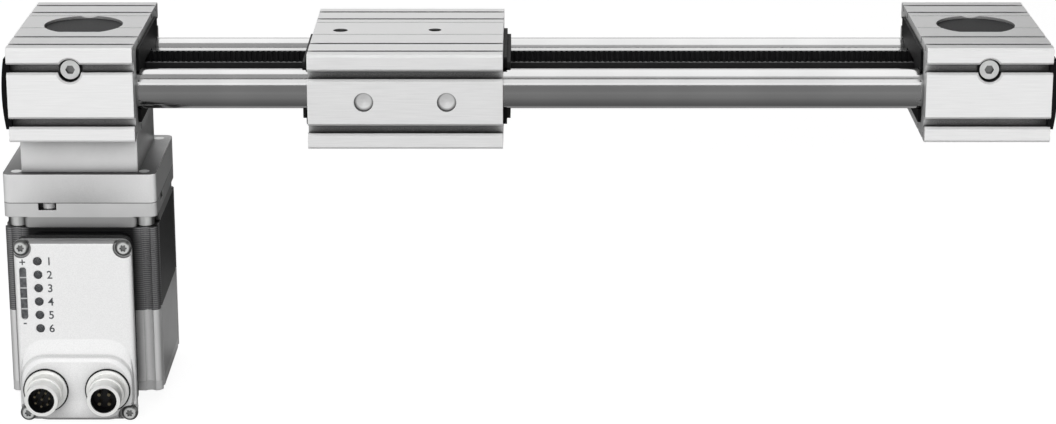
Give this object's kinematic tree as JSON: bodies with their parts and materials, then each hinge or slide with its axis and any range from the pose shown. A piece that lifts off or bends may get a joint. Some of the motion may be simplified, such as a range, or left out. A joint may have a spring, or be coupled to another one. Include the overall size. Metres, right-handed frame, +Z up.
{
  "type": "belt driven linear axis",
  "caption": "Linear axis with a carriage on two round guide rods, driven by a toothed belt between two end caps, with a square stepper motor and its controller hung under the drive cap.",
  "frame": {"origin": "middle of the axis's length and width, in the plane of the two end caps' mounting faces, from which the axis hangs", "axes": "+X along the guide rods from the drive cap to the idler cap, +Y across the axis away from the controller, +Z up, away from the motor"},
  "size_m": [0.3845, 0.1044, 0.1377],
  "materials": {
    "anodised_aluminium": "fine matt anodised extrusion",
    "cast_aluminium": "satin die casting",
    "ground_steel": "ground and hardened rod, bright",
    "steel": "bright zinc-plated steel",
    "belt_rubber": "matt black toothed belt",
    "black_plastic": "fine-textured black moulding",
    "dark_plastic": "dark grey moulding",
    "black_lacquer": "black lacquered laminations",
    "bushing": "bronze bushing",
    "wiper_rubber": "black rubber",
    "spider": "red elastomer",
    "gold_pins": "gold-plated contact pins",
    "indicator": "smoke grey clear plastic"
  },
  "bodies": {
    "root": {"drive_cap": "anodised_aluminium", "idler_cap": "anodised_aluminium", "front_guide_rod": "ground_steel", "rear_guide_rod": "ground_steel", "drive_outer_cover": "black_plastic", "idler_outer_cover": "black_plastic", "drive_inner_cover": "black_plastic", "idler_inner_cover": "black_plastic", "drive_top_plug": "dark_plastic", "idler_top_plug": "dark_plastic", "idler_bottom_plug": "dark_plastic", "drive_bearing_holder": "cast_aluminium", "idler_bearing_holder": "cast_aluminium", "drive_bearings": "steel", "idler_bearings": "steel", "cap_clamp_screws": "steel", "toothed_belt": "belt_rubber", "coupling_housing": "anodised_aluminium", "coupling_housing_screws": "steel", "adapter_plate": "cast_aluminium", "adapter_screws": "steel", "motor_flange": "cast_aluminium", "motor_stack": "black_lacquer", "motor_end_bell": "cast_aluminium", "motor_end_cap": "cast_aluminium", "motor_screws": "steel", "motor_bearings": "steel", "controller_housing": "black_plastic", "controller_cover": "cast_aluminium", "cover_screws": "steel", "level_window": "indicator", "logic_connector": "steel", "power_connector": "steel", "logic_pins": "gold_pins", "power_pins": "gold_pins", "connector_seals": "wiper_rubber"},
    "carriage": {"carriage_body": "anodised_aluminium", "carriage_drive_end_plate": "black_plastic", "carriage_idler_end_plate": "black_plastic", "carriage_drive_wiper": "wiper_rubber", "carriage_idler_wiper": "wiper_rubber", "rod_bushings": "bushing", "belt_clamp_block": "cast_aluminium", "belt_clamp_jaw": "cast_aluminium", "belt_clamp_screws": "steel"},
    "drive_rotor": {"drive_pulley": "cast_aluminium", "drive_shaft": "steel", "coupling_drive_hub": "cast_aluminium", "coupling_spider": "spider", "coupling_motor_hub": "cast_aluminium", "motor_rotor": "steel"},
    "idler_rotor": {"idler_pulley": "cast_aluminium", "idler_shaft": "steel"},
    "button_1": {"button_1": "indicator"},
    "button_2": {"button_2": "indicator"},
    "button_3": {"button_3": "indicator"},
    "button_4": {"button_4": "indicator"},
    "button_5": {"button_5": "indicator"},
    "button_6": {"button_6": "indicator"}
  },
  "joints": [
    {"name": "carriage_slide", "type": "slide", "parent": "root", "child": "carriage", "axis": [1, 0, 0], "range_m": [-0.055, 0.145]},
    {"name": "drive_spin", "type": "hinge", "parent": "root", "child": "drive_rotor", "pos_m": [-0.16575, 0, -0.0182], "axis": [0, 0, 1], "range_deg": [-342, 901]},
    {"name": "idler_spin", "type": "hinge", "parent": "root", "child": "idler_rotor", "pos_m": [0.16575, 0, -0.0182], "axis": [0, 0, 1], "range_deg": [-342, 901]},
    {"name": "button_1_press", "type": "slide", "parent": "root", "child": "button_1", "axis": [0, 1, 0], "range_m": [0, 0.0005], "stiffness_N_per_m": 400, "springref_m": -0.0005},
    {"name": "button_2_press", "type": "slide", "parent": "root", "child": "button_2", "axis": [0, 1, 0], "range_m": [0, 0.0005], "stiffness_N_per_m": 400, "springref_m": -0.0005},
    {"name": "button_3_press", "type": "slide", "parent": "root", "child": "button_3", "axis": [0, 1, 0], "range_m": [0, 0.0005], "stiffness_N_per_m": 400, "springref_m": -0.0005},
    {"name": "button_4_press", "type": "slide", "parent": "root", "child": "button_4", "axis": [0, 1, 0], "range_m": [0, 0.0005], "stiffness_N_per_m": 400, "springref_m": -0.0005},
    {"name": "button_5_press", "type": "slide", "parent": "root", "child": "button_5", "axis": [0, 1, 0], "range_m": [0, 0.0005], "stiffness_N_per_m": 400, "springref_m": -0.0005},
    {"name": "button_6_press", "type": "slide", "parent": "root", "child": "button_6", "axis": [0, 1, 0], "range_m": [0, 0.0005], "stiffness_N_per_m": 400, "springref_m": -0.0005}
  ],
  "couplings": [
    {"joint": "drive_spin", "follows": "carriage_slide", "rad_per_m": 108.33},
    {"joint": "idler_spin", "follows": "carriage_slide", "rad_per_m": 108.33}
  ]
}
